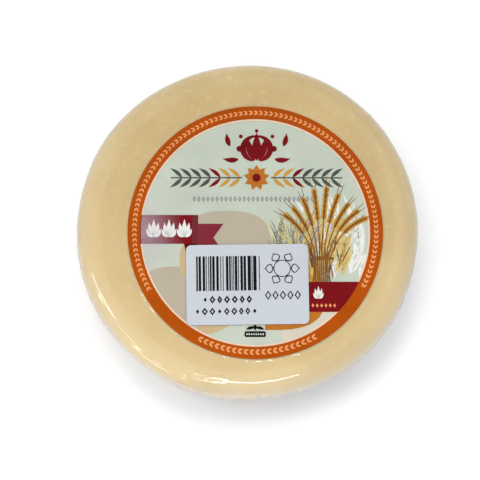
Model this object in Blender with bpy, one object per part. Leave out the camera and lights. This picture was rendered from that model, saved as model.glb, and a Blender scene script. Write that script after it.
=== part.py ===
"""A whole round mozzarella in its clinging vacuum film, with a round paper label and a price sticker.

Run it with blender --background --python part.py, or from Blender's text editor.
Units are metres and +Z is up. The cheese rests on z = 0, with its middle on the Z axis.
"""

import math

import bmesh
import bpy
from mathutils import Matrix, Vector

# The cheese: a soft wheel with barrel sides, round shoulders and a flat foot
WHEEL_RADIUS = 0.055
WHEEL_HEIGHT = 0.043
WIDEST_LEVEL = 0.45 * WHEEL_HEIGHT
FLAT_TOP_RADIUS = 0.0435
FOOT_RADIUS = 0.048
SHOULDER_POWER = 3.0
FOOT_POWER = 2.4
# How far the rim of the top lies below its middle
CROWN_DROP = 0.0010
# The outline isn't a true circle: for each count of lobes, their size as a share of the radius,
# and where the first of them lies. The single lobe brings the outline's middle onto the Z axis.
OUTLINE_LOBES = (
    (1, 0.0021, math.radians(-90)),
    (2, 0.0097, math.radians(6)),
    (3, 0.0020, math.radians(-46)),
    (4, 0.0029, math.radians(140)),
    (6, 0.0018, math.radians(134)),
    (7, 0.0014, math.radians(47)),
)
# The top sinks a little towards one side, and is slightly saddle shaped
TOP_SINK = 0.0003
TOP_SINK_TOWARDS = math.radians(35)
SADDLE_DEPTH = 0.0002

# The round label, off centre on the top
LABEL_RADIUS = 0.040
LABEL_MIDDLE = (0.00235, -0.00257)
LABEL_THICKNESS = 0.0003

# The price sticker on the label
STICKER_LENGTH = 0.038
STICKER_WIDTH = 0.025
STICKER_MIDDLE = (-0.0001, -0.01945)
STICKER_TURN = math.radians(0.8)
STICKER_CORNER_RADIUS = 0.0016
STICKER_THICKNESS = 0.0003

# Room between two pieces that lie on each other
CLEARANCE = 0.0003

# How finely the curved surfaces are divided
WHEEL_STEPS = 96
LOWER_SIDE_STEPS = 9
UPPER_SIDE_STEPS = 14
TOP_RINGS = 5
LABEL_STEPS = 72
LABEL_RINGS = 5
STICKER_LENGTH_CUTS = 9
STICKER_WIDTH_CUTS = 6
CORNER_STEPS = 4
SHARP_ANGLE = math.radians(35)
WELD_DISTANCE = 1e-6


def clear_scene():
    for thing in list(bpy.data.objects):
        bpy.data.objects.remove(thing, do_unlink=True)


def finish_of(name, colour, roughness, metallic=0.0):
    material = bpy.data.materials.new(name)
    material.use_nodes = True
    shader = material.node_tree.nodes["Principled BSDF"]
    shader.inputs["Base Color"].default_value = (*colour, 1.0)
    shader.inputs["Roughness"].default_value = roughness
    shader.inputs["Metallic"].default_value = metallic
    material.diffuse_color = (*colour, 1.0)
    return material


def add_piece(name, shape, material):
    """Turns a bmesh into a named object with smooth round faces and sharp edges."""
    mesh = bpy.data.meshes.new(name)
    bmesh.ops.recalc_face_normals(shape, faces=shape.faces)
    shape.to_mesh(mesh)
    shape.free()
    mesh.shade_smooth()
    mesh.set_sharp_from_angle(angle=SHARP_ANGLE)
    mesh.materials.append(material)
    piece = bpy.data.objects.new(name, mesh)
    bpy.context.collection.objects.link(piece)
    return piece


def out_of_round(angle):
    """How far the outline stands out in this direction, as a factor of the radius."""
    return 1.0 + sum(
        share * math.cos(count * (angle - first)) for count, share, first in OUTLINE_LOBES
    )


def top_relief(x, y):
    """How much higher than the full height the top lies over x, y: mostly a little lower."""
    crown = -CROWN_DROP * (x * x + y * y) / WHEEL_RADIUS**2
    along = x * math.cos(TOP_SINK_TOWARDS) + y * math.sin(TOP_SINK_TOWARDS)
    sink = -TOP_SINK * along / WHEEL_RADIUS
    saddle = SADDLE_DEPTH * (x * x - y * y) / WHEEL_RADIUS**2
    return crown + sink + saddle


def top_height(x, y):
    return WHEEL_HEIGHT + top_relief(x, y)


def quarter_round(inner_radius, level_change, power, steps):
    """Points of a squarish quarter round, from the widest level inwards to the flat."""
    reach = WHEEL_RADIUS - inner_radius
    points = []
    for step in range(steps + 1):
        turn = 0.5 * math.pi * step / steps
        out = max(math.cos(turn), 0.0) ** (2.0 / power)
        rise = math.sin(turn) ** (2.0 / power)
        points.append((inner_radius + reach * out, WIDEST_LEVEL + level_change * rise))
    return points


def wheel_profile():
    """Half of the wheel's section, as radius and height, from the foot up to the middle of the top."""
    foot = quarter_round(FOOT_RADIUS, -WIDEST_LEVEL, FOOT_POWER, LOWER_SIDE_STEPS)
    shoulder = quarter_round(
        FLAT_TOP_RADIUS, WHEEL_HEIGHT - WIDEST_LEVEL, SHOULDER_POWER, UPPER_SIDE_STEPS
    )
    top = [
        (FLAT_TOP_RADIUS * (1.0 - ring / TOP_RINGS), WHEEL_HEIGHT)
        for ring in range(1, TOP_RINGS + 1)
    ]
    return foot[::-1] + shoulder[1:] + top


def turned(profile, steps):
    """Spins a profile of radius and height round the Z axis."""
    shape = bmesh.new()
    corners = [shape.verts.new((radius, 0.0, height)) for radius, height in profile]
    edges = [shape.edges.new(pair) for pair in zip(corners, corners[1:])]
    bmesh.ops.spin(
        shape,
        geom=corners + edges,
        cent=(0.0, 0.0, 0.0),
        axis=(0.0, 0.0, 1.0),
        angle=math.tau,
        steps=steps,
    )
    bmesh.ops.remove_doubles(shape, verts=shape.verts, dist=WELD_DISTANCE)
    return shape


def cheese_wheel():
    shape = turned(wheel_profile(), WHEEL_STEPS)
    for corner in shape.verts:
        x, y, z = corner.co
        swell = out_of_round(math.atan2(y, x))
        x *= swell
        y *= swell
        corner.co = (x, y, z + top_relief(x, y) * z / WHEEL_HEIGHT)
    rim = [edge for edge in shape.edges if edge.is_boundary]
    bmesh.ops.contextual_create(shape, geom=rim)
    cheese = finish_of("cheese_in_film", (0.68, 0.52, 0.29), 0.22)
    return add_piece("cheese_wheel", shape, cheese)


def lay_on_top(shape, middle, turn, lift):
    """Moves a flat sheet to its place and presses it down onto the shape of the top."""
    placing = Matrix.Translation((*middle, 0.0)) @ Matrix.Rotation(turn, 4, "Z")
    for corner in shape.verts:
        place = placing @ corner.co
        corner.co = Vector((place.x, place.y, top_height(place.x, place.y) + lift))


def thicken(piece, thickness):
    """Gives a sheet its thickness, upwards from where it lies."""
    skin = piece.modifiers.new("thickness", "SOLIDIFY")
    skin.thickness = thickness
    skin.offset = 1.0
    skin.use_even_offset = True


def round_label():
    rings = [(LABEL_RADIUS * (1.0 - ring / LABEL_RINGS), 0.0) for ring in range(LABEL_RINGS + 1)]
    shape = turned(rings, LABEL_STEPS)
    lay_on_top(shape, LABEL_MIDDLE, 0.0, CLEARANCE)
    paper = finish_of("label_paper", (0.56, 0.59, 0.48), 0.35)
    label = add_piece("round_label", shape, paper)
    thicken(label, LABEL_THICKNESS)
    return label


def cut_across(shape, axis, length, count):
    """Divides a sheet into strips of equal width along one axis."""
    for cut in range(1, count + 1):
        place = Vector((0.0, 0.0, 0.0))
        place[axis] = length * (cut / (count + 1) - 0.5)
        way = Vector((0.0, 0.0, 0.0))
        way[axis] = 1.0
        bmesh.ops.bisect_plane(
            shape,
            geom=shape.verts[:] + shape.edges[:] + shape.faces[:],
            plane_co=place,
            plane_no=way,
            dist=WELD_DISTANCE,
        )


def price_sticker():
    shape = bmesh.new()
    half_length = 0.5 * STICKER_LENGTH
    half_width = 0.5 * STICKER_WIDTH
    ends = ((-1, -1), (1, -1), (1, 1), (-1, 1))
    corners = [shape.verts.new((half_length * x, half_width * y, 0.0)) for x, y in ends]
    shape.faces.new(corners)
    bmesh.ops.bevel(
        shape,
        geom=corners,
        offset=STICKER_CORNER_RADIUS,
        segments=CORNER_STEPS,
        profile=0.5,
        affect="VERTICES",
    )
    cut_across(shape, 0, STICKER_LENGTH, STICKER_LENGTH_CUTS)
    cut_across(shape, 1, STICKER_WIDTH, STICKER_WIDTH_CUTS)
    lift = CLEARANCE + LABEL_THICKNESS + CLEARANCE
    lay_on_top(shape, STICKER_MIDDLE, STICKER_TURN, lift)
    paper = finish_of("sticker_paper", (0.68, 0.68, 0.74), 0.5)
    sticker = add_piece("price_sticker", shape, paper)
    thicken(sticker, STICKER_THICKNESS)
    return sticker


clear_scene()
cheese_wheel()
round_label()
price_sticker()
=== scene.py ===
"""The looks of a vacuum-packed round mozzarella: the cheese, its clear film, the label and the sticker."""
import math
import random
from math import cos, pi, radians, sin, tau

import bmesh
import bpy
import numpy as np
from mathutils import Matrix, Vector, noise
from mathutils.geometry import tessellate_polygon


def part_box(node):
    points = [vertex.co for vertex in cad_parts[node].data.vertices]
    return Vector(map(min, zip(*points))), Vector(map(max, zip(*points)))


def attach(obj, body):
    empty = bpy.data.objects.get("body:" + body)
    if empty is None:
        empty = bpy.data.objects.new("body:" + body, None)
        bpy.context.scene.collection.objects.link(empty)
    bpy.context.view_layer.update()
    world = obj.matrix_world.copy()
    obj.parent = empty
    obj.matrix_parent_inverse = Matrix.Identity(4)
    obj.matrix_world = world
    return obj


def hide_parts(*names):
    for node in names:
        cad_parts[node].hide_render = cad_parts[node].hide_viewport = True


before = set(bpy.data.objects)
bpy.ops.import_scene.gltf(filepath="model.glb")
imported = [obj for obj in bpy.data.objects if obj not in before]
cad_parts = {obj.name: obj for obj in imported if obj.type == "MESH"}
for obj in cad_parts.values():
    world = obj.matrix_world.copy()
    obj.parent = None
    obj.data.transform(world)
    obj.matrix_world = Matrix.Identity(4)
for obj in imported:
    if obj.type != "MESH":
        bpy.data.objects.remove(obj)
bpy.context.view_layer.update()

MM = 0.001

# The wheel's form, the same as its solid has. The outline isn't a true circle: for each count of lobes,
# their size as a share of the radius, and where the first of them lies, in degrees.
OUTLINE_LOBES = (
    (1, 0.0021, -90), (2, 0.0097, 6), (3, 0.0020, -46), (4, 0.0029, 140), (6, 0.0018, 134), (7, 0.0014, 47)
)
CROWN_DROP = 1.0 * MM
TOP_SINK = 0.3 * MM
TOP_SINK_TOWARDS = radians(35)
SADDLE_DEPTH = 0.2 * MM
SHOULDER_POWER = 3.0
FOOT_POWER = 2.4


def out_of_round(angle):
    """How far the outline stands out in this direction, as a factor of the radius."""
    lobes = (share * np.cos(count * (angle - radians(first))) for count, share, first in OUTLINE_LOBES)
    return 1.0 + sum(lobes)


def middle_of(low, high):
    """The middle of a box in x and y."""
    return 0.5 * (low[0] + high[0]), 0.5 * (low[1] + high[1])


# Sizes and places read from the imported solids
wheel_low, wheel_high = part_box("cheese_wheel")
label_low, label_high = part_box("round_label")
WHEEL_RADIUS = (wheel_high[0] - wheel_low[0]) / (out_of_round(0.0) + out_of_round(pi))
WHEEL_HEIGHT = wheel_high[2]
WIDEST_LEVEL = 0.45 * WHEEL_HEIGHT
FLAT_TOP_RADIUS = WHEEL_RADIUS - 11.5 * MM
FOOT_RADIUS = WHEEL_RADIUS - 7.0 * MM
LABEL_MIDDLE = middle_of(label_low, label_high)
LABEL_RADIUS = 0.5 * (label_high[0] - label_low[0])
STICKER_MIDDLE = middle_of(*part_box("price_sticker"))
STICKER_TURN = radians(0.8)
# The sticker's own sizes, in millimetres
STICKER_LENGTH = 38.0
STICKER_WIDTH = 25.0
STICKER_CORNER = 1.6

# How high each layer lies above the top of the cheese
PAPER_LIFT = 0.30 * MM
PAPER_THICKNESS = 0.20 * MM
INK_LIFT = 0.53 * MM
INK_STEP = 0.028 * MM
FILM_OVER_LABEL = 0.78 * MM
STICKER_LIFT = 0.90 * MM
STICKER_THICKNESS = 0.22 * MM
STICKER_INK_LIFT = 1.15 * MM


# Form of the wheel

def top_relief(x, y):
    """How much higher than the full height the top lies over x, y: mostly a little lower."""
    crown = -CROWN_DROP * (x * x + y * y) / WHEEL_RADIUS**2
    along = x * cos(TOP_SINK_TOWARDS) + y * sin(TOP_SINK_TOWARDS)
    sink = -TOP_SINK * along / WHEEL_RADIUS
    saddle = SADDLE_DEPTH * (x * x - y * y) / WHEEL_RADIUS**2
    return crown + sink + saddle


def top_height(x, y):
    return WHEEL_HEIGHT + top_relief(x, y)


def quarter_round(inner_radius, level_change, power):
    """Radii and heights of a squarish quarter round, from the widest level inwards to the flat."""
    turn = np.linspace(0.0, 0.5 * pi, 300)
    out = np.maximum(np.cos(turn), 0.0) ** (2.0 / power)
    rise = np.sin(turn) ** (2.0 / power)
    reach = WHEEL_RADIUS - inner_radius
    return inner_radius + reach * out, WIDEST_LEVEL + level_change * rise


def wheel_profile():
    """Half of the wheel's section, from the middle of the foot to the middle of the top, and its length."""
    foot_r, foot_z = quarter_round(FOOT_RADIUS, -WIDEST_LEVEL, FOOT_POWER)
    side_r, side_z = quarter_round(FLAT_TOP_RADIUS, WHEEL_HEIGHT - WIDEST_LEVEL, SHOULDER_POWER)
    radii = np.concatenate([[0.0], foot_r[::-1], side_r[1:], [0.0]])
    levels = np.concatenate([[0.0], foot_z[::-1], side_z[1:], [WHEEL_HEIGHT]])
    along = np.concatenate([[0.0], np.cumsum(np.hypot(np.diff(radii), np.diff(levels)))])
    return radii, levels, along


# How far apart the rings of points lie along the section. Above the widest level, each zone gives
# the place inwards of the outline where it starts, and its spacing, in millimetres.
FOOT_SPACING = 3.0 * MM
SIDE_SPACING = 1.0 * MM
SIDE_LENGTH = 24.0 * MM
SHOULDER_ZONES = ((0.0, 0.9), (1.0, 0.22), (5.6, 0.34))
WHEEL_STEPS = 600


def ring_stops(top_zones):
    """Places of the rings along the section: coarse under the foot, and fine on the side and shoulder."""
    radii, _, along = wheel_profile()
    widest = np.argmax(radii)
    side_start = along[widest] - SIDE_LENGTH
    inwards = WHEEL_RADIUS - radii[widest:]
    zones = SHOULDER_ZONES + top_zones
    starts = [np.interp(inside * MM, inwards, along[widest:]) for inside, _ in zones]
    stops = [np.arange(0.0, side_start, FOOT_SPACING), np.arange(side_start, along[widest], SIDE_SPACING)]
    for start, end, (_, spacing) in zip(starts, starts[1:] + [along[-1]], zones):
        rings = max(round((end - start) / (spacing * MM)), 1)
        stops.append(np.linspace(start, end, rings, endpoint=False))
    return np.append(np.concatenate(stops), along[-1])


def wheel_grid(stops):
    """Points of the wheel's surface, the ways they face, and their directions round the middle."""
    radii, levels, along = wheel_profile()
    radii, levels = np.interp(stops, along, radii), np.interp(stops, along, levels)
    angle = np.linspace(0.0, tau, WHEEL_STEPS, endpoint=False)
    radius = radii[:, None] * out_of_round(angle)[None, :]
    x, y = radius * np.cos(angle), radius * np.sin(angle)
    z = levels[:, None] + top_relief(x, y) * levels[:, None] / WHEEL_HEIGHT
    points = np.stack([x, y, z], axis=-1)
    facing = facing_of(points, angle)
    points = points + facing * full_shoulder(points, angle)[..., None]
    return points, facing_of(points, angle), np.broadcast_to(angle, points.shape[:-1])


def facing_of(points, angle):
    """Which way the surface faces at each point of a grid of rings."""
    up = np.gradient(points, axis=0)
    round_way = np.stack([-np.sin(angle), np.cos(angle), np.zeros(len(angle))], axis=-1)
    facing = np.cross(np.broadcast_to(round_way, points.shape), up)
    facing /= np.maximum(np.linalg.norm(facing, axis=-1, keepdims=True), 1e-12)
    facing[0], facing[-1] = (0.0, 0.0, -1.0), (0.0, 0.0, 1.0)
    return facing


# The shoulder is fuller on the lower left: most at this place inwards of the outline
FULLEST_INSIDE = 2.3 * MM
FULL_TO_INSIDE = 5.0 * MM
FULL_SHOULDER = 0.85 * MM
FULL_SHOULDER_RUN = [radians(turn) for turn in (-141, -132, -112, -104)]


def full_shoulder(points, angle):
    """How far the fuller stretch of the shoulder stands out over the wheel's even section."""
    inside = inside_outline(points, angle)
    place = np.linspace(0.0, FULL_TO_INSIDE, 100)
    outer = 1.0 - ((FULLEST_INSIDE - place) / FULLEST_INSIDE) ** 2
    inner = ((FULL_TO_INSIDE - place) / (FULL_TO_INSIDE - FULLEST_INSIDE)) ** 2
    section = np.where(place < FULLEST_INSIDE, outer, inner)
    window = np.hanning(17) / np.hanning(17).sum()
    smooth = np.convolve(np.pad(section, 8, mode="edge"), window, mode="valid")
    stretch = ease_in_and_out(signed(angle), *FULL_SHOULDER_RUN)
    upper = ease(points[..., 2], WIDEST_LEVEL, WIDEST_LEVEL + 12.0 * MM)
    return FULL_SHOULDER * upper * stretch * np.interp(inside, place, smooth)


def ease(value, start, end):
    """0 before start, 1 after end, and smooth between them."""
    share = np.clip((value - start) / (end - start), 0.0, 1.0)
    return share * share * (3.0 - 2.0 * share)


def ease_in_and_out(value, start, full, full_end, end):
    """1 from full to full_end, 0 before start and after end, and smooth between them."""
    return ease(value, start, full) * (1.0 - ease(value, full_end, end))


def signed(angle):
    """The same direction, counted from minus half a turn to half a turn."""
    return (angle + pi) % tau - pi


def from_middle(points):
    return np.hypot(points[..., 0], points[..., 1])


def inside_outline(points, angle):
    """How far points lie inwards of the wheel's outline."""
    return WHEEL_RADIUS * out_of_round(angle) - from_middle(points)


def wander(points, scale, seed):
    """Smooth noise from -1 to 1 at each point of a grid, with features of about this size in metres."""
    flat = points.reshape(-1, 3) / scale + seed
    values = [noise.noise(Vector(place)) for place in flat]
    return np.array(values).reshape(points.shape[:-1])


# Making pieces

def add_object(data):
    """An object that has the name of its mesh, camera or light."""
    thing = bpy.data.objects.new(data.name, data)
    bpy.context.collection.objects.link(thing)
    return thing


def add_piece(mesh, material, slot_name, *stands_for):
    """A piece of the model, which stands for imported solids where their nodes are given."""
    mesh.materials.append(material)
    piece = add_object(mesh)
    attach(piece, "root")
    if stands_for:
        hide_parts(*stands_for)
    return piece


def closed_wheel_mesh(name, points):
    """A closed smooth skin from rings of points, with one point at the middle of each end."""
    rings, steps = points.shape[0] - 2, points.shape[1]
    inner = points[1:-1].reshape(-1, 3)
    corners = [points[0].mean(axis=0), *inner, points[-1].mean(axis=0)]
    last = len(corners) - 1
    faces = []
    for step in range(steps):
        after = (step + 1) % steps
        faces.append((0, 1 + after, 1 + step))
        faces.append((last, last - steps + step, last - steps + after))
        for ring in range(rings - 1):
            here, above = 1 + ring * steps, 1 + (ring + 1) * steps
            faces.append((here + step, here + after, above + after, above + step))
    mesh = bpy.data.meshes.new(name)
    mesh.from_pydata(corners, [], faces)
    mesh.shade_smooth()
    return mesh


def keep_values(mesh, title, values):
    """Stores a number for each corner of a closed wheel mesh, where a material can read it."""
    in_order = np.concatenate([[values[0].mean()], values[1:-1].ravel(), [values[-1].mean()]])
    mesh.attributes.new(title, "FLOAT", "POINT").data.foreach_set("value", in_order)


# Shader building

def new_material(name):
    material = bpy.data.materials.new(name)
    material.use_nodes = True
    return material, material.node_tree, material.node_tree.nodes["Principled BSDF"]


def fill(tree, socket, value):
    """Links a socket to another one, or sets its own value."""
    if isinstance(value, bpy.types.NodeSocket):
        tree.links.new(value, socket)
    else:
        socket.default_value = value


def set_node(tree, node, *values, **settings):
    """Values fill the node's sockets in their order. Settings named like its sockets, with _ for a
    space, fill those, and others set its options."""
    for setting, value in settings.items():
        socket = node.inputs.get(setting.replace("_", " "))
        if socket is None:
            setattr(node, setting, value)
        else:
            fill(tree, socket, value)
    for socket, value in zip(node.inputs, values):
        fill(tree, socket, value)
    return node


def add_node(tree, kind, *values, **settings):
    return set_node(tree, tree.nodes.new("ShaderNode" + kind), *values, **settings)


def surface_place(tree):
    return add_node(tree, "TexCoord").outputs["Object"]


def calculate(tree, operation, *values):
    return add_node(tree, "Math", *values, operation=operation).outputs[0]


def speckle(tree, place, scale, detail, roughness):
    """Cloudy noise from 0 to 1."""
    noisy = add_node(tree, "TexNoise", Vector=place, Scale=scale, Detail=detail, Roughness=roughness)
    return noisy.outputs["Fac"]


def remap(tree, value, low, high, new_low=0.0, new_high=1.0, **settings):
    """A value carried from one range to another, and kept inside it."""
    return add_node(tree, "MapRange", value, low, high, new_low, new_high, **settings).outputs["Result"]


def bump(tree, height, strength, distance):
    return add_node(tree, "Bump", Strength=strength, Distance=distance, Height=height).outputs["Normal"]


def mix_shaders(tree, share, first, second):
    return add_node(tree, "MixShader", share, first, second).outputs[0]


def blend_colours(tree, share, first, second):
    """A colour between two colours or colour sockets."""
    mix = add_node(tree, "Mix", data_type="RGBA", Factor=share)
    fill(tree, mix.inputs[6], first)
    fill(tree, mix.inputs[7], second)
    return mix.outputs[2]


def new_group(name, takes, gives):
    """An empty node group with its named inputs, as name to default, and its named outputs."""
    group = bpy.data.node_groups.new(name, "ShaderNodeTree")
    for title, default in takes.items():
        socket = group.interface.new_socket(title, in_out="INPUT", socket_type="NodeSocketFloat")
        socket.default_value = default
    for title in gives:
        group.interface.new_socket(title, in_out="OUTPUT", socket_type="NodeSocketFloat")
    return group, group.nodes.new("NodeGroupInput"), group.nodes.new("NodeGroupOutput")


def make_tooth_and_shade_group():
    """Fine fibre and patchy ink, as on coated paper, and painted shade that darkens it towards the back: a
    shade round 0.5 and a height.
    """
    settings = {"Fibre Scale": 2500.0, "Patch Scale": 90.0, "Painted Shade Slope": -3.0}
    group, takes, gives = new_group("tooth_and_painted_shade", settings, ("Shade", "Height"))
    place = surface_place(group)
    # Painted shade: the tone slopes darker towards the back, along y
    away = add_node(group, "SeparateXYZ", place).outputs["Y"]
    fibre = speckle(group, place, takes.outputs["Fibre Scale"], 3.0, 0.6)
    patch = speckle(group, place, takes.outputs["Patch Scale"], 2.0, 0.5)
    even = calculate(group, "MULTIPLY", calculate(group, "ADD", fibre, patch), 0.5)
    shade = calculate(group, "MULTIPLY_ADD", away, takes.outputs["Painted Shade Slope"], even)
    set_node(group, gives, Shade=shade, Height=fibre)
    return group


TOOTH_AND_SHADE = make_tooth_and_shade_group()


def film_haze_and_glare_group():
    """How milky the film looks where it has let go of what it covers, and where a painted glare lies on it:
    an even cover made streaky.
    """
    settings = {"Cover": 0.0, "Streak Scale": 260.0, "Thinnest": 0.7}
    group, takes, gives = new_group("film_haze_and_glare", settings, ("Haze",))
    streaks = speckle(group, surface_place(group), takes.outputs["Streak Scale"], 3.0, 0.6)
    uneven = remap(group, streaks, 0.3, 0.7, takes.outputs["Thinnest"])
    set_node(group, gives, Haze=calculate(group, "MULTIPLY", takes.outputs["Cover"], uneven))
    return group


FILM_HAZE_AND_GLARE = film_haze_and_glare_group()


def printed_surface(name, dark, light, roughness):
    """Paper or ink: a colour that varies between two tones with the paper's tooth, and darker towards the
    back as painted shade.
    """
    material, tree, shader = new_material(name)
    tooth = add_node(tree, "Group", node_tree=TOOTH_AND_SHADE)
    shade = remap(tree, tooth.outputs["Shade"], 0.35, 0.65)
    colour = blend_colours(tree, shade, (*dark, 1.0), (*light, 1.0))
    grain = bump(tree, tooth.outputs["Height"], 0.04, 0.1 * MM)
    set_node(
        tree, shader, Base_Color=colour, Normal=grain, Roughness=roughness, Specular_IOR_Level=0.06
    )
    return material


# Creases and pleats, which the film gathers into and presses on the cheese

# Where the film gathers: the middle and the spread of each place, in degrees, and how many creases it has
GATHERINGS = ((-104, 22, 10), (-35, 22, 7), (42, 26, 11), (118, 24, 7), (178, 22, 8))


def side_creases(points, angle):
    """Upright creases where the shrunk film has more length than the cheese."""
    chance = random.Random(19)
    lift = np.zeros(points.shape[:-1])
    levels = points[..., 2]
    for middle, spread, count in GATHERINGS:
        for _ in range(count):
            turn = radians(middle + spread * chance.triangular(-1.0, 1.0))
            low, high = chance.uniform(0.5, 7.0) * MM, chance.uniform(15.0, 38.0) * MM
            height, width = chance.uniform(0.18, 0.50) * MM, chance.uniform(0.7, 1.4) * MM
            lean, bow = chance.uniform(-0.5, 0.5), chance.uniform(-2.0, 2.0) * MM
            share = np.clip((levels - low) / (high - low), 0.0, 1.0)
            off = signed(angle - turn)
            across = off * WHEEL_RADIUS - lean * (levels - low) - bow * np.sin(pi * share)
            ridge = np.clip(1.0 - np.abs(across) / width, 0.0, 1.0) ** 1.5
            lift = np.maximum(lift, height * ridge * np.sin(pi * share) ** 0.7)
    return lift * ease(WHEEL_HEIGHT - levels, 2.0 * MM, 7.0 * MM)


PLEATS = 46
PLEAT_HEIGHT = 0.5 * MM


def foot_pleats(points, angle):
    """Small gathers low on the side, where the shrunk film runs in under the foot."""
    low = 1.0 - ease(points[..., 2], 2.0 * MM, 12.0 * MM)
    outer = ease(from_middle(points), 8.0 * MM, 30.0 * MM)
    gathers = np.sin(angle * PLEATS + 3.5 * wander(points * (1.0, 1.0, 0.3), 9.0 * MM, 5.0))
    strength = 0.35 + 0.65 * ease(wander(points * (1.0, 1.0, 0.0), 17.0 * MM, 77.0), -0.4, 0.5)
    return low * outer * strength * (0.5 + 0.5 * gathers) ** 2 * PLEAT_HEIGHT


# Where the side is the most finely wrinkled: middle and half width of each stretch, in degrees
WRINKLED_STRETCHES = ((28, 30), (152, 16))
WRINKLE_HEIGHT = 0.55 * MM


def fine_wrinkles(points, angle):
    """Patches of small upright wrinkles on the side."""
    turn = np.degrees(signed(angle))
    favoured = sum(ease(half - np.abs(turn - middle), 0.0, half) for middle, half in WRINKLED_STRETCHES)
    patches = ease(wander(points, 15.0 * MM, 33.0) + 0.5 * favoured, 0.20, 0.60)
    levels = points[..., 2]
    on_side = ease(levels, 3.0 * MM, 8.0 * MM) * ease(WHEEL_HEIGHT - levels, 5.0 * MM, 14.0 * MM)
    ridges = np.abs(wander(points * (1.0, 1.0, 0.28), 2.4 * MM, 91.0))
    return WRINKLE_HEIGHT * patches * on_side * ridges


def all_creases(points, angle):
    return side_creases(points, angle) + foot_pleats(points, angle) + fine_wrinkles(points, angle)


# The cheese

CHEESE_WARM = (0.495, 0.362, 0.167, 1.0)
CHEESE_PALE = (0.75, 0.575, 0.303, 1.0)
CHEESE_CURD = (0.72, 0.60, 0.35, 1.0)
# Painted light: which way the cheese gets paler, as a slope per metre, and the most that this adds
PAINTED_LIGHT_SLOPE = (0.4, -7.5, 0.0)
PAINTED_LIGHT_MOST = 0.21


def cheese_finish():
    """Soft cream-yellow paste: pale and warm clouds, painted light that pales its front, light that soaks
    in a little, a faint skin.
    """
    material, tree, shader = new_material("cheese_paste")
    place = surface_place(tree)
    clouds = speckle(tree, place, 38.0, 3.0, 0.55)
    flecks = speckle(tree, place, 420.0, 2.0, 0.6)
    # Painted light: the paste is made paler towards the front, up to a most
    towards = add_node(tree, "VectorMath", place, PAINTED_LIGHT_SLOPE, operation="DOT_PRODUCT").outputs["Value"]
    clouds_and_light = calculate(tree, "ADD", calculate(tree, "MINIMUM", towards, PAINTED_LIGHT_MOST), clouds)
    body = blend_colours(tree, remap(tree, clouds_and_light, -0.1, 1.1), CHEESE_WARM, CHEESE_PALE)
    paste = blend_colours(tree, remap(tree, flecks, 0.55, 0.75, 0.0, 0.35), body, CHEESE_CURD)
    set_node(tree, shader, Base_Color=paste, Normal=bump(tree, flecks, 0.15, 0.2 * MM))
    # The film wets the paste, which has little gloss of its own under it
    set_node(tree, shader, Roughness=0.5, Specular_IOR_Level=0.2)
    set_node(
        tree, shader, Subsurface_Weight=0.3, Subsurface_Radius=(1.0, 0.75, 0.4), Subsurface_Scale=3.0 * MM
    )
    return material


CHEESE_UNDER_FILM = 0.12 * MM
CHEESE_DENTS = 0.10 * MM
CHEESE_OFF_FLOOR = 0.35 * MM
# How far the soft cheese follows the film's creases
CHEESE_FOLLOWS = 0.55
CHEESE_TOP_ZONES = ((9.2, 2.5),)


def make_cheese():
    points, facing, angle = wheel_grid(ring_stops(CHEESE_TOP_ZONES))
    dents = wander(points, 14.0 * MM, 3.1) * CHEESE_DENTS
    lift = dents + CHEESE_FOLLOWS * all_creases(points, angle) - CHEESE_UNDER_FILM
    points = points + facing * lift[..., None]
    points[..., 2] = np.maximum(points[..., 2], CHEESE_OFF_FLOOR)
    add_piece(closed_wheel_mesh("cheese", points), cheese_finish(), "cheese", "cheese_wheel")


# The film

FILM_CLING = 0.06 * MM
# The film lies this high under the foot, and its creases reach down to the second height, so that it
# and the floor don't share a place
FOOT_LEVEL = 0.3 * MM
FILM_OFF_FLOOR = 0.02 * MM
# The film's rings over the top: fine where it steps down from the label, and coarse over it
FILM_TOP_ZONES = ((9.2, 0.28), (19.6, 3.2))
FINE_RIPPLES = 0.07 * MM
BROAD_RIPPLES = 0.12 * MM
# What share of the light the film mirrors head on, and how much more at its steepest slant
FILM_GLOSS = 0.04
FILM_SLANT_GLOSS = 0.14
FILM_CLEAR = (0.985, 0.985, 0.98, 1.0)
# Painted shade: on the side the film is mixed with grey at a slant, by up to this share, for darker
# surroundings mirrored there
PAINTED_RIM_SHADE = 0.75
RIM_SHADE_GREY = (0.65, 0.635, 0.60, 1.0)
# Where a crease this high has let go of the cheese, the film looks milky by this share, and along the
# seam by a part of it
CREASE_MILK = 0.32
MILK_FULL_AT = 0.45 * MM
SEAM_MILK = 0.25
MILK_WHITE = (0.84, 0.79, 0.68, 1.0)


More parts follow.
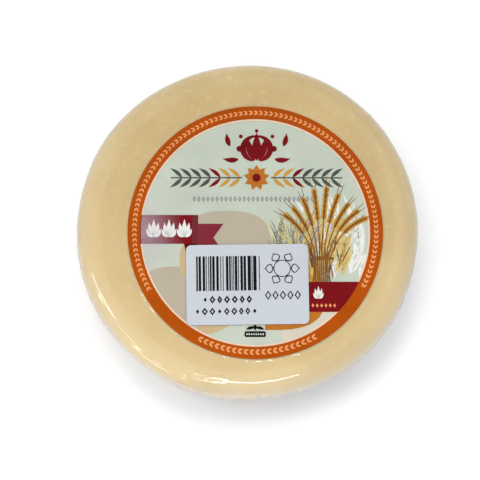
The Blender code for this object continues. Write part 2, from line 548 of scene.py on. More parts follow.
def film_finish():
    """Clear glossy film: what lies under it shows, and only its gloss, a little milk and painted shade at a
    slant are added.
    """
    material, tree, shader = new_material("clear_film")
    tree.nodes.remove(shader)
    wave = bump(tree, speckle(tree, surface_place(tree), 160.0, 3.0, 0.55), 0.12, 0.4 * MM)
    let_go = add_node(tree, "Attribute", attribute_name="let_go").outputs["Fac"]
    slant_shade = add_node(tree, "Attribute", attribute_name="slant_shade").outputs["Fac"]
    haze = add_node(tree, "Group", node_tree=FILM_HAZE_AND_GLARE, Streak_Scale=420.0, Cover=let_go).outputs["Haze"]
    slant = add_node(tree, "LayerWeight", Blend=0.5, Normal=wave).outputs["Facing"]
    steep = calculate(tree, "POWER", slant, 5.0)
    mirrored_share = calculate(tree, "MULTIPLY_ADD", steep, FILM_SLANT_GLOSS, FILM_GLOSS)
    clear = add_node(tree, "BsdfTransparent", FILM_CLEAR).outputs[0]
    milk = add_node(tree, "BsdfDiffuse", MILK_WHITE).outputs[0]
    rim_shade_bsdf = add_node(tree, "BsdfDiffuse", RIM_SHADE_GREY).outputs[0]
    gloss = add_node(tree, "BsdfGlossy", Roughness=0.03, Normal=wave).outputs[0]
    body = mix_shaders(tree, haze, clear, milk)
    # Painted shade: grey at a slant, on the side only
    shaded_body = mix_shaders(tree, calculate(tree, "MULTIPLY", steep, slant_shade), body, rim_shade_bsdf)
    film = mix_shaders(tree, mirrored_share, shaded_body, gloss)
    set_node(tree, tree.nodes["Material Output"], Surface=film)
    return material


def film_over_label(points):
    """How far the film is held up by the label, with a slope of uneven width down to the cheese."""
    x, y = points[..., 0] - LABEL_MIDDLE[0], points[..., 1] - LABEL_MIDDLE[1]
    beyond = np.hypot(x, y) - LABEL_RADIUS
    width = (1.15 + 0.9 * wander(points * (1.0, 1.0, 0.0), 3.6 * MM, 11.0)) * MM
    held = 1.0 - ease(beyond, 0.1 * MM, np.maximum(width, 0.7 * MM))
    return held * (points[..., 2] > WIDEST_LEVEL) * (FILM_OVER_LABEL - FILM_CLING)


# The welded seam: a flat band of doubled film down the side, between these directions
SEAM_FROM = radians(-110.5)
SEAM_TO = radians(-97)
SEAM_HEIGHT = 0.28 * MM
SEAM_CRINKLE = 0.10 * MM
# Its doubled film is stiff, and stays flat across a strip of the shoulder
SEAM_FLAT_INSIDE = 5.0 * MM
SEAM_FLAT_HALF_WIDTH = 0.8 * MM
SEAM_FLAT_RISE = 0.06 * MM


def seam_band(points, angle):
    """1 on the doubled film and 0 beside it."""
    edge = 0.5 * MM / WHEEL_RADIUS
    band = ease_in_and_out(signed(angle), SEAM_FROM - 8.0 * edge, SEAM_FROM, SEAM_TO - edge, SEAM_TO)
    return band * ease(from_middle(points), FLAT_TOP_RADIUS + 1.0 * MM, FLAT_TOP_RADIUS + 4.0 * MM)


def film_seam(points, angle):
    crinkle = SEAM_CRINKLE * wander(points, 2.8 * MM, 47.0)
    off = np.abs(inside_outline(points, angle) - SEAM_FLAT_INSIDE) / SEAM_FLAT_HALF_WIDTH
    flat = SEAM_FLAT_RISE * off * off * (1.0 - ease(off, 1.0, 2.2))
    return seam_band(points, angle) * (SEAM_HEIGHT + crinkle + flat)


# Loose folds round the left shoulder: half width, height, and then directions in degrees with how far
# in from the outline the fold lies there. Lengths are in millimetres.
SHOULDER_FOLDS = (
    (
        0.75, 0.20,
        (-171, 2.9), (-164, 3.8), (-155, 3.7), (-147, 3.55), (-141, 3.95), (-135, 3.9), (-128, 3.6),
    ),
    (0.90, 0.09, (-137, 3.0), (-131, 2.7), (-124, 2.2), (-118, 2.4), (-111, 2.9)),
    (0.80, 0.10, (-112, 6.2), (-106, 5.7), (-101, 6.0), (-96, 5.5)),
)


def film_folds(points, angle):
    turn, inside = np.degrees(signed(angle)), inside_outline(points, angle)
    shoulder = ease(points[..., 2], WIDEST_LEVEL + 4.0 * MM, WIDEST_LEVEL + 10.0 * MM)
    waver = wander(points, 3.4 * MM, 61.0)
    lift = np.zeros(points.shape[:-1])
    for half_width, height, *path in SHOULDER_FOLDS:
        turns, insides = zip(*path)
        middle = (np.interp(turn, turns, insides) + 0.3 * waver) * MM
        off = np.clip(np.abs(inside - middle) / (half_width * MM), 0.0, 1.0)
        ends = ease_in_and_out(turn, *turns[:2], *turns[-2:])
        lift += height * MM * (1.0 + 0.5 * waver) * ends * np.cos(0.5 * pi * off) ** 2
    return lift * shoulder


def make_film():
    points, facing, angle = wheel_grid(ring_stops(FILM_TOP_ZONES))
    ripples = FINE_RIPPLES * wander(points, 5.0 * MM, 21.0) + BROAD_RIPPLES * wander(points, 16.0 * MM, 8.0)
    shoulder = ease(from_middle(points), 40.0 * MM, 46.0 * MM)
    creases = all_creases(points, angle)
    lift = FILM_CLING + np.abs(ripples) * shoulder + creases
    lift = lift + film_over_label(points) + film_seam(points, angle) + film_folds(points, angle)
    below_top = WHEEL_HEIGHT - points[..., 2]
    on_side = ease(below_top, 5.0 * MM, 12.0 * MM)
    loose = np.clip(creases / MILK_FULL_AT, 0.0, 1.0)
    let_go = on_side * np.maximum(CREASE_MILK * loose, CREASE_MILK * SEAM_MILK * seam_band(points, angle))
    # Painted shade at a slant: none on the top, and up to its share on the side
    slant_shade = PAINTED_RIM_SHADE * ease(below_top, 1.5 * MM, 9.0 * MM)
    points = points + facing * lift[..., None]
    faces_down = facing[..., 2] < -0.98
    points[..., 2] = np.where(faces_down, np.clip(FOOT_LEVEL - lift, 0.0, FOOT_LEVEL), points[..., 2])
    points[..., 2] = np.maximum(points[..., 2], FILM_OFF_FLOOR)
    mesh = closed_wheel_mesh("film", points)
    keep_values(mesh, "let_go", let_go)
    keep_values(mesh, "slant_shade", slant_shade)
    add_piece(mesh, film_finish(), "film", "cheese_wheel")


# Outlines of print, in millimetres

def step_from(x, y, turn, length):
    """The point this far from x, y in this direction."""
    return x + length * cos(turn), y + length * sin(turn)


def box_outline(left, bottom, right, top):
    return [(left, bottom), (right, bottom), (right, top), (left, top)]


def round_box(left, bottom, right, top, corner):
    """A rectangle with round corners."""
    outline, steps = [], 6
    middles = ((right - corner, top - corner), (left + corner, top - corner))
    middles += ((left + corner, bottom + corner), (right - corner, bottom + corner))
    for quarter, (x, y) in enumerate(middles):
        for step in range(steps + 1):
            turn = 0.5 * pi * (quarter + step / steps)
            outline.append(step_from(x, y, turn, corner))
    return outline


def disc(x, y, radius, steps):
    return [step_from(x, y, tau * step / steps, radius) for step in range(steps)]


def arc_band(inner, outer, start, end, steps):
    """A stretch of a ring between two radii."""
    turns = [start + (end - start) * step / steps for step in range(steps + 1)]
    out = [step_from(0.0, 0.0, turn, outer) for turn in turns]
    back = [step_from(0.0, 0.0, turn, inner) for turn in reversed(turns)]
    return out + back


def lozenge(x, y, width, height):
    return [(x + 0.5 * width, y), (x, y + 0.5 * height), (x - 0.5 * width, y), (x, y - 0.5 * height)]


def brush_line(x, y, heading, length, bend, widths, steps):
    """A line of changing width that starts at x, y and turns evenly by bend along its length."""
    left, right = [], []
    for step in range(steps + 1):
        share = step / steps
        half = 0.5 * np.interp(share, np.linspace(0.0, 1.0, len(widths)), widths)
        way = heading + bend * share
        left.append((x - half * sin(way), y + half * cos(way)))
        right.append((x + half * sin(way), y - half * cos(way)))
        x, y = step_from(x, y, way + 0.5 * bend / steps, length / steps)
    return right + left[::-1]


# How wide a leaf is along its length, as shares of its widest
LEAF_FORM = (0.02, 0.42, 0.74, 0.93, 1.0, 0.97, 0.86, 0.68, 0.44, 0.21, 0.02)


def leaf(x, y, heading, length, width, bend=0.0):
    """A pointed leaf that starts at x, y."""
    return brush_line(x, y, heading, length, bend, [width * share for share in LEAF_FORM], 10)


def hill(left, right, foot, top, lean, power):
    """A rounded mound on a flat foot, whose crest lies at the share lean of its width."""
    outline, steps = [(left, foot)], 48
    crest = left + lean * (right - left)
    for step in range(1, steps):
        turn = pi * (1.0 - step / steps)
        side = (crest - left) if cos(turn) < 0.0 else (right - crest)
        out = math.copysign(abs(cos(turn)) ** (2.0 / power), cos(turn))
        outline.append((crest + side * out, foot + (top - foot) * sin(turn) ** (2.0 / power)))
    return outline + [(right, foot)]


def within_circle(outline, radius):
    """The part of an outline inside a circle round the middle."""
    sides = 120
    for side in range(sides):
        turn = tau * side / sides
        way_x, way_y = cos(turn), sin(turn)
        kept = []
        for (x, y), (next_x, next_y) in zip(outline, outline[1:] + outline[:1]):
            here = radius - (x * way_x + y * way_y)
            after = radius - (next_x * way_x + next_y * way_y)
            if here >= 0.0:
                kept.append((x, y))
            if here * after < 0.0:
                share = here / (here - after)
                kept.append((x + share * (next_x - x), y + share * (next_y - y)))
        outline = kept
        if not outline:
            return []
    return outline


def mirrored(outline, middle):
    """The same outline on the other side of an upright line."""
    return [(2.0 * middle - x, y) for x, y in outline]


# Laying print on the top of the cheese

def place_on_label(x, y):
    return LABEL_MIDDLE[0] + x * MM, LABEL_MIDDLE[1] + y * MM


def place_on_sticker(x, y):
    along, across = cos(STICKER_TURN) * MM, sin(STICKER_TURN) * MM
    return STICKER_MIDDLE[0] + x * along - y * across, STICKER_MIDDLE[1] + x * across + y * along


# In millimetres
CUT_EVERY = 4.0
WELD_DISTANCE = 1e-5


def flat_shapes(shapes):
    """A bmesh of flat shapes in millimetres. Each is an outline, or a list of an outline and its holes."""
    drawn = bmesh.new()
    for shape in shapes:
        loops = shape if isinstance(shape[0], list) else [shape]
        loops = [[Vector((x, y, 0.0)) for x, y in loop] for loop in loops]
        corners = [drawn.verts.new(point) for loop in loops for point in loop]
        for triangle in tessellate_polygon(loops):
            drawn.faces.new([corners[index] for index in triangle])
    for face in drawn.faces:
        face.normal_update()
        if face.normal.z < 0.0:
            face.normal_flip()
    return drawn


def cut_into_cells(drawn):
    """Divides flat shapes along a square grid, so that they can follow the top's curve."""
    for axis in (0, 1):
        low = min(corner.co[axis] for corner in drawn.verts)
        high = max(corner.co[axis] for corner in drawn.verts)
        way = Vector((axis == 0, axis == 1, 0.0))
        for line in range(math.ceil(low / CUT_EVERY), math.floor(high / CUT_EVERY) + 1):
            everything = drawn.verts[:] + drawn.edges[:] + drawn.faces[:]
            at = way * line * CUT_EVERY
            bmesh.ops.bisect_plane(
                drawn, geom=everything, plane_co=at, plane_no=way, dist=WELD_DISTANCE
            )


def draped_mesh(name, shapes, place, lift):
    """A mesh of flat shapes that follows the top of the cheese at this lift."""
    drawn = flat_shapes(shapes)
    cut_into_cells(drawn)
    for corner in drawn.verts:
        x, y = place(corner.co.x, corner.co.y)
        corner.co = (x, y, top_height(x, y) + lift)
    mesh = bpy.data.meshes.new(name)
    drawn.to_mesh(mesh)
    drawn.free()
    return mesh


def lay_print(name, shapes, place, lift, material, slot_name):
    """Prints shapes of one ink as a piece on the top of the cheese."""
    mesh = draped_mesh(name, shapes, place, lift)
    mesh.shade_smooth()
    add_piece(mesh, material, slot_name)


def lay_paper(mesh, thickness, material, slot_name, node):
    """A sheet of paper with real thickness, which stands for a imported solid."""
    skin = add_piece(mesh, material, slot_name, node).modifiers.new("thickness", "SOLIDIFY")
    skin.thickness = thickness
    skin.offset = 1.0


# Inks and papers: the darker and the lighter tone, as linear colours, and the roughness
LABEL_MINT = ((0.48, 0.525, 0.43), (0.555, 0.60, 0.50), 0.45)
RIM_ORANGE = ((0.36, 0.060, 0.001), (0.45, 0.080, 0.002), 0.4)
RIM_MARK_PEACH = ((0.74, 0.27, 0.09), (0.82, 0.33, 0.12), 0.4)
KEYLINE_PEACH = ((0.76, 0.56, 0.42), (0.82, 0.62, 0.47), 0.4)
BURGUNDY = ((0.15, 0.003, 0.006), (0.21, 0.006, 0.010), 0.35)
SHADED_BURGUNDY = ((0.135, 0.018, 0.021), (0.17, 0.026, 0.029), 0.35)
FADED_BURGUNDY = ((0.18, 0.018, 0.030), (0.23, 0.026, 0.042), 0.35)
DEEP_BURGUNDY = ((0.07, 0.002, 0.004), (0.10, 0.003, 0.005), 0.35)
LEAF_GREEN = ((0.06, 0.072, 0.055), (0.09, 0.10, 0.08), 0.4)
OCHRE = ((0.50, 0.25, 0.04), (0.58, 0.31, 0.055), 0.4)
BAKED_ORANGE = ((0.43, 0.14, 0.016), (0.50, 0.175, 0.022), 0.4)
STRAW = ((0.56, 0.56, 0.32), (0.63, 0.62, 0.38), 0.45)
STRAW_GOLD = ((0.60, 0.44, 0.15), (0.68, 0.52, 0.21), 0.45)
BARK_BROWN = ((0.20, 0.075, 0.015), (0.27, 0.11, 0.025), 0.4)
HILL_BEIGE = ((0.435, 0.38, 0.285), (0.48, 0.42, 0.32), 0.45)
HILL_TAN = ((0.52, 0.38, 0.20), (0.58, 0.43, 0.24), 0.45)
CREAM_WHITE = ((0.74, 0.74, 0.68), (0.80, 0.80, 0.74), 0.4)
WARM_CREAM = ((0.60, 0.54, 0.43), (0.66, 0.595, 0.475), 0.4)
MARK_GREY = ((0.20, 0.20, 0.22), (0.26, 0.26, 0.28), 0.45)
PRINT_BLACK = ((0.003, 0.003, 0.004), (0.007, 0.007, 0.008), 0.5)
STICKER_WHITE = ((0.475, 0.50, 0.520), (0.515, 0.54, 0.565), 0.5)
THERMAL_BLACK = ((0.003, 0.003, 0.006), (0.008, 0.008, 0.012), 0.6)


# The label's print: a made-up meadow with a sheaf, hills, a ribbon and a garland

FIELD_RADIUS = 36.0
FIELD_MIDDLE = (-0.05, -0.2)
KEYLINE_RADIUS = 35.45
RIM_RADIUS = 40.0
# Points of a large circle
ROUND = 160
UNDER_RIM = 36.5
RIM_MARK_RADIUS = 37.85
RIM_MARKS_TOP = (radians(-29), radians(209))
RIM_MARKS_FOOT = (radians(241), radians(299))


def rim_leaves(run, length, width, gap):
    """A run of small leaf pairs along the middle of the rim, like a laurel."""
    start, end = run
    count = round((end - start) * RIM_MARK_RADIUS / gap)
    leaves = []
    for number in range(count):
        turn = start + (end - start) * (number + 0.5) / count
        x, y = step_from(0.0, 0.0, turn, RIM_MARK_RADIUS)
        along = turn + 0.5 * pi
        for side in (-1, 1):
            leaves.append(leaf(x, y, along + side * 0.75, length, width, -side * 0.6))
    return leaves


def tulip_flourish():
    """A tulip between two curling leaf scrolls, high on the label."""
    x, foot = 0.45, 22.4
    shapes = [leaf(x, foot, radians(90), 9.0, 3.0), disc(x, 32.0, 0.55, 16)]
    for outline in (
        leaf(x + 0.5, foot, radians(58), 8.2, 2.3, 0.55),
        brush_line(x + 0.9, foot, radians(8), 13.0, 3.3, (0.5, 1.5, 1.9, 1.6, 0.9, 0.5), 24),
        leaf(x + 5.6, 22.9, radians(-18), 5.2, 1.6, 0.7),
        leaf(x + 8.4, 27.0, radians(62), 4.4, 1.6, 0.5),
        disc(x + 5.4, 26.2, 0.95, 18),
        disc(x + 5.0, 30.2, 0.6, 16),
    ):
        shapes += [outline, mirrored(outline, x)]
    return shapes


GARLAND_MIDDLE = 0.4
GARLAND_LEVEL = 16.9
GARLAND_PITCH = 3.0


def garland_leaves(first, last):
    """Leaf pairs of the garland between two distances from its middle, on both sides."""
    leaves = []
    for number in range(round((last - first) / GARLAND_PITCH)):
        x = GARLAND_MIDDLE + first + GARLAND_PITCH * number
        for fold in (-1, 1):
            outline = leaf(x, GARLAND_LEVEL, fold * 0.92, 5.0, 1.15, -fold * 0.5)
            leaves += [outline, mirrored(outline, GARLAND_MIDDLE)]
    return leaves


def garland_petals():
    turns = [tau * (petal + 0.25) / 9 for petal in range(9)]
    return [leaf(*step_from(GARLAND_MIDDLE, GARLAND_LEVEL, turn, 0.8), turn, 3.3, 2.0) for turn in turns]


def garland_stems():
    x, y = GARLAND_MIDDLE, GARLAND_LEVEL
    left = box_outline(x - 27.0, y - 0.2, x - 4.6, y + 0.2)
    return [left, mirrored(left, x)]


def bead_row(left, right, level, height, width, gap, line=0.0):
    """A row of small lozenges, outlined where line gives a thickness."""
    beads, x = [], left + 0.5 * width
    while x <= right - 0.5 * width + 0.01:
        bead = lozenge(x, level, width, height)
        beads.append([bead, lozenge(x, level, width - 3.0 * line, height - 3.4 * line)] if line else bead)
        x += width + gap
    return beads


def palmette(x, foot, height, width):
    """Five leaves that fan out of one point."""
    fan = ((90, 1.0), (58, 0.86), (122, 0.86), (24, 0.62), (156, 0.62))
    leaves = []
    for heading, share in fan:
        bend = 0.9 * cos(radians(heading))
        leaves.append(leaf(x, foot, radians(heading), share * height, width, bend))
    return leaves


SHEAF_TIE = (20.6, -8.4)


def sheaf_stalks():
    """Bent stalks through one tie: where each starts, its way, its length and its bend."""
    stalks = []
    for number in range(9):
        fan = (number - 4) / 4.0
        heading = radians(90 + 10 * fan)
        x = SHEAF_TIE[0] + 2.6 * fan
        length = 27.5 - 4.5 * fan * fan + 1.3 * sin(5.0 * number)
        stalks.append((x, -15.95, heading, length, radians(-70 * fan) - 0.12))
    return stalks


def stalk_point(stalk, share):
    """Where a stalk is, and which way it runs, at a share of its length."""
    x, y, heading, length, bend = stalk
    steps = 12
    for step in range(steps):
        way = heading + bend * share * (step + 0.5) / steps
        x, y = step_from(x, y, way, share * length / steps)
    return x, y, heading + bend * share


def sheaf_grains():
    """Grains in two rows along the top of each stalk, and the brown stroke that shades each of them."""
    grains, shades = [], []
    for stalk in sheaf_stalks():
        for row in range(6):
            x, y, way = stalk_point(stalk, 0.68 + 0.058 * row)
            for side in (-1, 1):
                grains.append(leaf(x, y, way + side * 0.42, 2.6, 1.15, -side * 0.5))
                shades.append(leaf(x, y, way + side * 0.2, 2.2, 0.5, -side * 0.4))
    return grains, shades


def sheaf_awns(chance):
    """Long hairs from the ears."""
    hairs = []
    for stalk in sheaf_stalks():
        for share in (0.86, 0.98):
            x, y, way = stalk_point(stalk, share)
            for side in (-1, 1):
                turn = way + side * chance.uniform(0.12, 0.3)
                length = chance.uniform(4.2, 6.0)
                hairs.append(brush_line(x, y, turn, length, -side * 0.2, (0.28, 0.2, 0.08), 5))
    return hairs


def grass_strokes(chance, count, left, right, lowest, highest, shortest, longest, width):
    """Fine upright strokes, like engraved grass."""
    strokes = []
    for _ in range(count):
        x, y = chance.uniform(left, right), chance.uniform(lowest, highest)
        spread = 24 * (0.5 * (left + right) - x) / (right - left)
        heading = radians(90 + spread + chance.uniform(-12, 12))
        length = chance.uniform(shortest, longest)
        strokes.append(leaf(x, y, heading, length, width, chance.uniform(-0.7, 0.7)))
    return strokes


RIBBON_BOTTOM = -4.1
RIBBON_TOP = 5.0


def ink(name, colours, shapes, layer):
    """Prints shapes in one ink on the label, in one of its thin layers."""
    finish = printed_surface("ink_" + name, *colours)
    lay_print("print_" + name, shapes, place_on_label, INK_LIFT + layer * INK_STEP, finish, "label")


def print_meadow():
    chance = random.Random(7)
    mound = hill(-24.0, 6.0, -9.0, 6.3, 0.517, 2.8)
    # Its left foot ends where the sticker covers it
    mound = [(max(x, -19.0) if y < -2.0 else x, y) for x, y in mound]
    grains, shades = sheaf_grains()
    ink("hills", HILL_BEIGE, [
        mound,
        within_circle(hill(-42.0, -9.5, -29.5, -11.2, 0.5, 2.2), UNDER_RIM),
    ], 0)
    ink("stubble", HILL_TAN, [
        [(-23.4, -5.8), (-22.4, -4.4), (-19.0, -4.4), (-19.0, -14.0), (-22.9, -14.0), (-23.7, -10.0)],
        leaf(-8.0, -29.4, radians(186), 14.0, 3.6, 0.2),
    ], 1)
    ink("path", WARM_CREAM, [arc_band(32.3, UNDER_RIM, radians(-76), radians(-43), 24)], 0)
    ink("glade", CREAM_WHITE, grass_strokes(chance, 60, 17.0, 33.0, -15.5, 2.0, 4.0, 12.0, 1.5), 0)
    ink("meadow", STRAW, grass_strokes(chance, 60, 6.5, 19.0, -12.0, -3.0, 6.0, 13.0, 1.5), 1)
    ink("bale", OCHRE, [box_outline(8.0, -16.3, 20.8, -10.2)], 1)
    ink("bale_side", BAKED_ORANGE, [[
        (3.0, -25.3), (3.0, -31.0), (8.0, -31.0), (11.3, -30.8), (14.3, -30.2), (16.7, -29.4),
        (18.5, -28.3), (19.9, -27.0), (20.9, -25.3),
    ]], 1)
    ink("leaves", STRAW_GOLD, grass_strokes(chance, 34, 15.5, 27.0, -15.5, -6.0, 9.0, 16.0, 1.3), 2)
    ink("stalks", BARK_BROWN, [brush_line(*stalk, (0.5, 0.42, 0.3), 12) for stalk in sheaf_stalks()]
        + sheaf_awns(chance)
        + grass_strokes(chance, 26, 15.0, 27.0, -15.5, -6.0, 4.0, 8.0, 0.42)
        + [brush_line(16.9, -8.9, 0.12, 7.6, -0.2, (0.9, 1.3, 0.9), 8)], 3)
    ink("hatching", MARK_GREY, grass_strokes(chance, 46, 6.0, 19.0, -12.0, 1.0, 3.0, 7.5, 0.3), 3)
    ink("grains", OCHRE, grains, 3)
    ink("grain_shades", BARK_BROWN, shades, 4)


def print_ribbon():
    ink("ribbon", BURGUNDY, [
        within_circle(box_outline(-38.0, RIBBON_BOTTOM, -19.8, RIBBON_TOP), UNDER_RIM),
        within_circle(box_outline(14.0, -25.4, 38.0, -16.0), UNDER_RIM),
    ] + tulip_flourish(), 3)
    ink("ribbon_shade", SHADED_BURGUNDY, [box_outline(-19.8, RIBBON_BOTTOM, -17.9, RIBBON_TOP)], 3)
    tail = [(-17.9, 2.2), (-10.0, 2.2), (-13.1, -2.2), (-10.0, -6.6), (-17.9, -6.6)]
    ink("ribbon_tail", FADED_BURGUNDY, [tail], 3)
    fold = [(-22.3, RIBBON_BOTTOM), (-17.9, RIBBON_BOTTOM), (-19.6, -7.0), (-21.6, -7.0)]
    ink("ribbon_fold", DEEP_BURGUNDY, [fold], 4)
    ribbon_fans = sum((palmette(x, -1.9, 5.6, 1.5) for x in (-31.8, -27.0, -22.2)), [])
    bar_fan = palmette(19.6, -21.2, 3.9, 1.0)
    seal_beads = bead_row(-2.9, 2.7, -32.3, 0.8, 0.5, 0.22)
    ink("white_marks", CREAM_WHITE, ribbon_fans + bar_fan + seal_beads, 4)
    ink("pink_marks", RIM_MARK_PEACH, bead_row(17.4, 25.6, -23.4, 1.3, 0.9, 0.45), 4)


def print_garland():
    ink("garland_leaves", LEAF_GREEN, garland_leaves(14.4, 25.0), 1)
    ink("garland_ochre", OCHRE, garland_leaves(5.2, 11.5), 1)
    ink("garland_buds", BURGUNDY, garland_leaves(11.3, 14.4), 1)
    ink("garland_petals", BAKED_ORANGE, garland_petals(), 1)
    ink("garland_stems", LEAF_GREEN, garland_stems(), 2)
    ink("garland_eye", BURGUNDY, [disc(GARLAND_MIDDLE, GARLAND_LEVEL, 1.3, 20)], 2)
    ink("beads", MARK_GREY, bead_row(-19.6, 19.2, 10.1, 1.9, 1.0, 0.42, 0.2), 2)


def print_rim():
    ink("seal", PRINT_BLACK, [
        round_box(-3.4, -33.2, 3.2, -31.4, 0.5),
        leaf(-2.9, -30.9, 0.55, 3.6, 0.95, -0.8),
        leaf(2.7, -30.9, pi - 0.55, 3.6, 0.95, 0.8),
        leaf(-0.1, -31.2, 0.5 * pi, 2.6, 0.9),
    ], 1)
    under_rim, keyline, field = (
        disc(*FIELD_MIDDLE, radius, ROUND) for radius in (UNDER_RIM, KEYLINE_RADIUS, FIELD_RADIUS)
    )
    ink("keyline", KEYLINE_PEACH, [[under_rim, keyline]], 2)
    ink("rim", RIM_ORANGE, [[disc(0.0, 0.0, RIM_RADIUS, ROUND), field]], 4)
    ink("rim_marks", RIM_MARK_PEACH, rim_leaves(RIM_MARKS_TOP, 1.5, 0.62, 1.6)
        + rim_leaves(RIM_MARKS_FOOT, 1.75, 0.72, 1.8), 5)


# A painted glare at the label's left: a milky patch that stands in for light mirrored in the film

GLARE_LIFT = 0.71 * MM
GLARE_STRENGTH = 0.37
GLARE_COLOUR = (0.82, 0.71, 0.80, 1.0)
# The painted glare is strongest round this place on the label, in millimetres, and fades between these
# distances
GLARE_MIDDLE = (-38.0, -0.5)
GLARE_FROM = 2.0 * MM
GLARE_TO = 17.0 * MM


# Painted glare: a pale, streaky patch that stands in for a reflection in the film
def painted_glare_finish():
    material, tree, shader = new_material("painted_glare_film")
    middle = (*place_on_label(*GLARE_MIDDLE), WHEEL_HEIGHT)
    away = add_node(tree, "VectorMath", surface_place(tree), middle, operation="DISTANCE").outputs["Value"]
    fade = remap(tree, away, GLARE_FROM, GLARE_TO, GLARE_STRENGTH, 0.0, interpolation_type="SMOOTHSTEP")
    haze = add_node(tree, "Group", node_tree=FILM_HAZE_AND_GLARE, Cover=fade).outputs["Haze"]
    set_node(tree, shader, Alpha=haze, Base_Color=GLARE_COLOUR, Roughness=0.4)
    return material


def make_painted_glare():
    outline = within_circle(round_box(-40.0, -18.0, -20.8, 17.0, 4.0), FIELD_RADIUS - 0.2)
    lay_print("painted_glare_place", [outline], place_on_label, GLARE_LIFT, painted_glare_finish(), "film")


# The sticker's print

BAR_MODULE = 0.25
BARS_LEFT = -15.9
BARS_RIGHT = 3.85
LAST_BAR_BEFORE = 3.6
BARS_FOOT = -1.9
BARS_TOP = 8.9


def sticker_bars():
    """Upright bars of one to four modules, with gaps of one to three, by a seeded rule."""
    chance = random.Random(12)
    bars, x = [], BARS_LEFT
    while x < LAST_BAR_BEFORE:
        width = chance.choice((1, 1, 2, 2, 3, 3, 4)) * BAR_MODULE
        bars.append(box_outline(x, BARS_FOOT, min(x + width, BARS_RIGHT), BARS_TOP))
        x += width + chance.choice((1, 1, 1, 2, 2, 3)) * BAR_MODULE
    return bars


def sticker_rosette():
    """An outlined flower of six petals round a ring."""
    x, y = 10.85, 4.85
    shapes = [[disc(x, y, 2.7, 32), disc(x, y, 2.45, 32)]]
    for petal in range(6):
        turn = tau * petal / 6
        outer = leaf(*step_from(x, y, turn, 2.6), turn, 2.9, 2.9)
        shapes.append([outer, leaf(*step_from(x, y, turn, 3.0), turn, 2.1, 2.3)])
    return shapes


def mark_row(left, right, level, height, line, seed):
    """A row of outlined lozenges of uneven width, with a few small filled ones among them."""
    chance = random.Random(seed)
    marks, x = [], left
    while x < right - 0.5 * height:
        filled = chance.random() < 0.12
        width = height * chance.uniform(0.62, 0.82)
        middle = x + 0.5 * width
        if filled:
            marks.append(lozenge(middle, level, 0.6 * width, 0.6 * height))
        else:
            inner = lozenge(middle, level, width - 3.4 * line, height - 4.2 * line)
            marks.append([lozenge(middle, level, width, height), inner])
        x += width + 0.2 * height
    return marks


def make_sticker():
    half_length, half_width = 0.5 * STICKER_LENGTH, 0.5 * STICKER_WIDTH
    outline = round_box(-half_length, -half_width, half_length, half_width, STICKER_CORNER)
    sheet = draped_mesh("sticker_paper", [outline], place_on_sticker, STICKER_LIFT)
    paper = printed_surface("thermal_paper", *STICKER_WHITE)
    lay_paper(sheet, STICKER_THICKNESS, paper, "sticker", "price_sticker")
    drawn = sticker_bars()
    drawn += mark_row(-14.0, 0.9, -4.65, 2.5, 0.36, 31)
    drawn += mark_row(-16.4, 3.4, -8.3, 2.4, 0.32, 32)
    drawn += bead_row(5.35, 16.55, -3.5, 2.9, 2.0, 0.3, 0.3)
    drawn += sticker_rosette()
    black = printed_surface("thermal_print", *THERMAL_BLACK)
    lay_print("sticker_print", drawn, place_on_sticker, STICKER_INK_LIFT, black, "sticker")


def make_label():
    outline = disc(0.0, 0.0, LABEL_RADIUS / MM, ROUND)
    sheet = draped_mesh("label_paper", [outline], place_on_label, PAPER_LIFT)
    paper = printed_surface("mint_label_paper", *LABEL_MINT)
    lay_paper(sheet, PAPER_THICKNESS, paper, "label", "round_label")
    print_meadow()
    print_ribbon()
    print_garland()
    print_rim()


# Floor, camera and light

FLOOR_HALF = 1.5
FLOOR_WHITE = (0.907, 0.92, 0.944, 1.0)


def make_floor():
    mesh = bpy.data.meshes.new("floor")
    corners = [(FLOOR_HALF * x, FLOOR_HALF * y, 0.0) for x, y in ((-1, -1), (1, -1), (1, 1), (-1, 1))]
    mesh.from_pydata(corners, [], [(0, 1, 2, 3)])
    material, tree, shader = new_material("white_floor")
    set_node(tree, shader, Base_Color=FLOOR_WHITE, Roughness=0.9, Specular_IOR_Level=0.1)
    mesh.materials.append(material)
    add_object(mesh)


CAMERA_AIM = Vector((-2.44, -5.40, 43.0)) * MM
CAMERA_DISTANCE = 423.0 * MM
CAMERA_LEAN = radians(7.97)
CAMERA_LENS_MM = 101.4


def aim_at(thing, place, target):
    thing.location = place
    thing.rotation_euler = (Vector(target) - Vector(place)).to_track_quat("-Z", "Y").to_euler()


def make_camera():
    data = bpy.data.cameras.new("camera")
    data.lens = CAMERA_LENS_MM
    data.sensor_width = 36.0
    data.clip_start = 0.01
    camera = add_object(data)
    back = Vector((0.0, -sin(CAMERA_LEAN), cos(CAMERA_LEAN)))
    aim_at(camera, CAMERA_AIM + CAMERA_DISTANCE * back, CAMERA_AIM)
    bpy.context.scene.camera = camera


def add_lamp(name, azimuth, elevation, distance, width, height, power):
    """A soft lamp that faces the cheese from this direction."""
    data = bpy.data.lights.new(name, "AREA")
    data.shape = "ELLIPSE"
    data.size = width
    data.size_y = height
    data.energy = power
    lamp = add_object(data)
    around, up = radians(azimuth), radians(elevation)
    way = Vector((cos(around) * cos(up), sin(around) * cos(up), sin(up)))
    target = Vector((0.0, 0.0, 0.5 * WHEEL_HEIGHT))
    aim_at(lamp, target + distance * way, target)
    lamp.visible_camera = False
    return lamp


# The lamps overhead are a little warm and the room's light a little cool, so that only shadows look cool
OVERHEAD_TINT = (1.06, 1.0, 0.88)


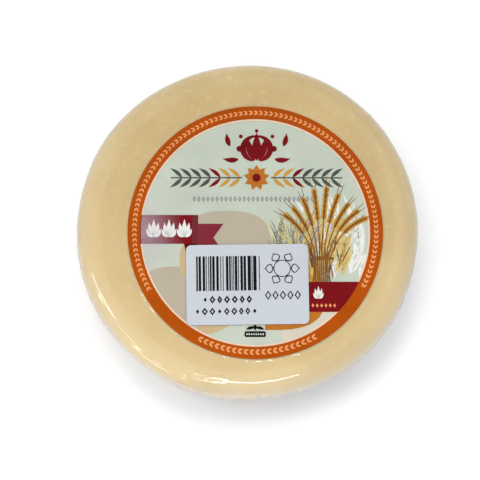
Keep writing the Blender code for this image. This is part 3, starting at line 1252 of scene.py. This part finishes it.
def make_lamps():
    for name, azimuth, elevation, power in (
        ("overhead_left", 160, 72.5, 15.4),
        ("overhead_back", 106, 73, 19.4),
        ("overhead_right", 55, 74, 10.6),
    ):
        overhead = add_lamp(name, azimuth, elevation, 3.0, 0.76, 0.76, power)
        overhead.data.color = OVERHEAD_TINT
        # Polarised, so that it lights the cheese but isn't mirrored in the film
        overhead.visible_glossy = False
    low_fill = add_lamp("low_fill", -105, 5.5, 0.6, 0.66, 0.10, 0.68)
    low_fill.visible_glossy = False
    # Narrow lamps that only glint on the film
    for name, azimuth, elevation, width, height, power in (
        ("low_left", -145, 5.5, 0.56, 0.09, 1.5),
        ("low_front", -89.5, 12, 0.44, 0.055, 1.5),
    ):
        glint = add_lamp(name, azimuth, elevation, 0.6, width, height, power)
        glint.visible_diffuse = False


# Brightness of the room by the sine of the elevation: a light ring all round, and dim overhead
ROOM_TIERS = (
    (0.0, 0.95), (0.12, 0.80), (0.5, 0.82), (0.64, 0.95),
    (0.82, 0.95), (0.90, 0.70), (0.95, 0.10), (1.0, 0.03),
)
# Low down the room is brighter in this direction and darker across from it, by this share at the
# horizon. The difference fades out at this sine of the elevation.
BRIGHT_SIDE = radians(-138)
SIDE_SWING = 0.45
SWING_ENDS = 0.6
ROOM_TINT = (0.94, 1.0, 1.12)


def make_room():
    """The light that comes from all round, and the plain white that the camera sees behind the cheese."""
    world = bpy.data.worlds.new("light_room")
    world.use_nodes = True
    tree = world.node_tree
    direction = add_node(tree, "TexCoord").outputs["Generated"]
    height = add_node(tree, "SeparateXYZ", direction).outputs["Z"]
    ramp = add_node(tree, "ValToRGB", height)
    stops = ramp.color_ramp.elements
    while len(stops) < len(ROOM_TIERS):
        stops.new(0.5)
    for stop, (place, brightness) in zip(stops, ROOM_TIERS):
        stop.position = place
        stop.color = (*(brightness * share for share in ROOM_TINT), 1.0)
    way = (SIDE_SWING * cos(BRIGHT_SIDE), SIDE_SWING * sin(BRIGHT_SIDE), 0.0)
    sideways = add_node(tree, "VectorMath", direction, way, operation="DOT_PRODUCT").outputs["Value"]
    low = remap(tree, height, 0.0, SWING_ENDS, 1.0, 0.0)
    swing = calculate(tree, "MULTIPLY_ADD", sideways, low, 1.0)
    room = set_node(tree, tree.nodes["Background"], ramp.outputs["Color"], swing)
    backdrop = add_node(tree, "Background", (1.0, 1.0, 1.0, 1.0))
    from_camera = add_node(tree, "LightPath").outputs["Is Camera Ray"]
    seen = mix_shaders(tree, from_camera, room.outputs[0], backdrop.outputs[0])
    set_node(tree, tree.nodes["World Output"], Surface=seen)
    bpy.context.scene.world = world
    bpy.context.scene.view_settings.view_transform = "Standard"


make_cheese()
make_label()
make_painted_glare()
make_film()
make_sticker()
make_floor()
make_camera()
make_lamps()
make_room()
